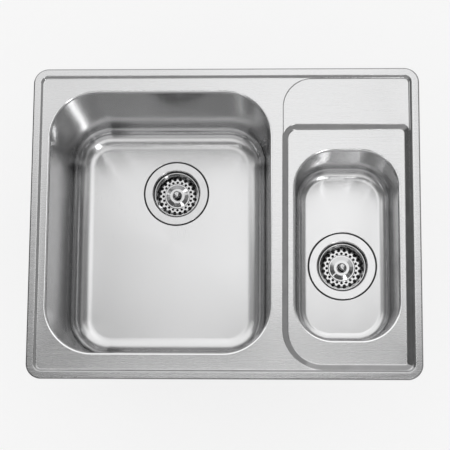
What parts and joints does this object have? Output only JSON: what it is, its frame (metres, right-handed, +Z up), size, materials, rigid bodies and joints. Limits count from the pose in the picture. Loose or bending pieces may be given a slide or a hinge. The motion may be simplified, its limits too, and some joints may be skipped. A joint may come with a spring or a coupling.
{
  "type": "inset kitchen sink",
  "caption": "Inset stainless steel kitchen sink with a main bowl, a small bowl, a tap ledge, basket strainers with lift-out plugs, waste bodies and swinging fixing clips",
  "frame": {"origin": "Centre of the rim outline on the worktop plane, which is the flat seat under the rim", "axes": "+X points right along the longest side, +Y points to the back where the tap ledge is, +Z points up"},
  "size_m": [0.62, 0.5, 0.3025],
  "materials": {
    "steel": "brushed stainless steel",
    "polished": "polished stainless steel",
    "zinc": "zinc plated steel",
    "brass": "turned brass",
    "rubber": "matte black rubber",
    "foam": "closed cell foam",
    "plastic": "moulded white polypropylene"
  },
  "bodies": {
    "sink": {"sink_deck": "steel", "main_bowl": "steel", "small_bowl": "steel", "rim_seal": "foam", "main_damping_pad": "rubber", "small_damping_pad": "rubber", "main_strainer_cup": "polished", "main_cup_gasket": "rubber", "main_waste_washer": "rubber", "main_waste_body": "plastic", "main_waste_tail": "plastic", "main_waste_insert": "brass", "main_clamp_screw": "polished", "small_strainer_cup": "polished", "small_cup_gasket": "rubber", "small_waste_washer": "rubber", "small_waste_body": "plastic", "small_waste_tail": "plastic", "small_waste_insert": "brass", "small_clamp_screw": "polished", "clip_brackets": "zinc", "clip_screws": "zinc"},
    "main_plug": {"main_plug_post": "polished", "main_stopper": "rubber", "main_catch_clip": "zinc"},
    "main_strainer_basket": {"main_basket": "polished"},
    "small_plug": {"small_plug_post": "polished", "small_stopper": "rubber", "small_catch_clip": "zinc"},
    "small_strainer_basket": {"small_basket": "polished"},
    "claw_1": {"clip_claw_1": "zinc"},
    "claw_2": {"clip_claw_2": "zinc"},
    "claw_3": {"clip_claw_3": "zinc"},
    "claw_4": {"clip_claw_4": "zinc"},
    "claw_5": {"clip_claw_5": "zinc"},
    "claw_6": {"clip_claw_6": "zinc"},
    "claw_7": {"clip_claw_7": "zinc"},
    "claw_8": {"clip_claw_8": "zinc"}
  },
  "joints": [
    {"name": "main_plug_lift", "type": "slide", "parent": "sink", "child": "main_plug", "axis": [0, 0, 1], "range_m": [0, 0.245]},
    {"name": "main_basket_turn", "type": "hinge", "parent": "main_plug", "child": "main_strainer_basket", "pos_m": [-0.095, 0.09, -0.2275], "axis": [0, 0, 1], "continuous": true},
    {"name": "small_plug_lift", "type": "slide", "parent": "sink", "child": "small_plug", "axis": [0, 0, 1], "range_m": [0, 0.165]},
    {"name": "small_basket_turn", "type": "hinge", "parent": "small_plug", "child": "small_strainer_basket", "pos_m": [0.1937, -0.0532, -0.1465], "axis": [0, 0, 1], "continuous": true},
    {"name": "claw_1_swing", "type": "hinge", "parent": "sink", "child": "claw_1", "pos_m": [-0.186, -0.226, -0.039], "axis": [0, 0, 1], "range_deg": [-90, 0]},
    {"name": "claw_2_swing", "type": "hinge", "parent": "sink", "child": "claw_2", "pos_m": [0.0186, -0.226, -0.039], "axis": [0, 0, 1], "range_deg": [-90, 0]},
    {"name": "claw_3_swing", "type": "hinge", "parent": "sink", "child": "claw_3", "pos_m": [0.1932, -0.2192, -0.039], "axis": [0, 0, 1], "range_deg": [-90, 0]},
    {"name": "claw_4_swing", "type": "hinge", "parent": "sink", "child": "claw_4", "pos_m": [-0.186, 0.226, -0.039], "axis": [0, 0, 1], "range_deg": [-90, 0]},
    {"name": "claw_5_swing", "type": "hinge", "parent": "sink", "child": "claw_5", "pos_m": [0.0186, 0.226, -0.039], "axis": [0, 0, 1], "range_deg": [-90, 0]},
    {"name": "claw_6_swing", "type": "hinge", "parent": "sink", "child": "claw_6", "pos_m": [0.1932, 0.226, -0.039], "axis": [0, 0, 1], "range_deg": [-90, 0]},
    {"name": "claw_7_swing", "type": "hinge", "parent": "sink", "child": "claw_7", "pos_m": [-0.29, 0, -0.039], "axis": [0, 0, 1], "range_deg": [-90, 0]},
    {"name": "claw_8_swing", "type": "hinge", "parent": "sink", "child": "claw_8", "pos_m": [0.286, 0.19735, -0.039], "axis": [0, 0, 1], "range_deg": [-90, 0]}
  ]
}
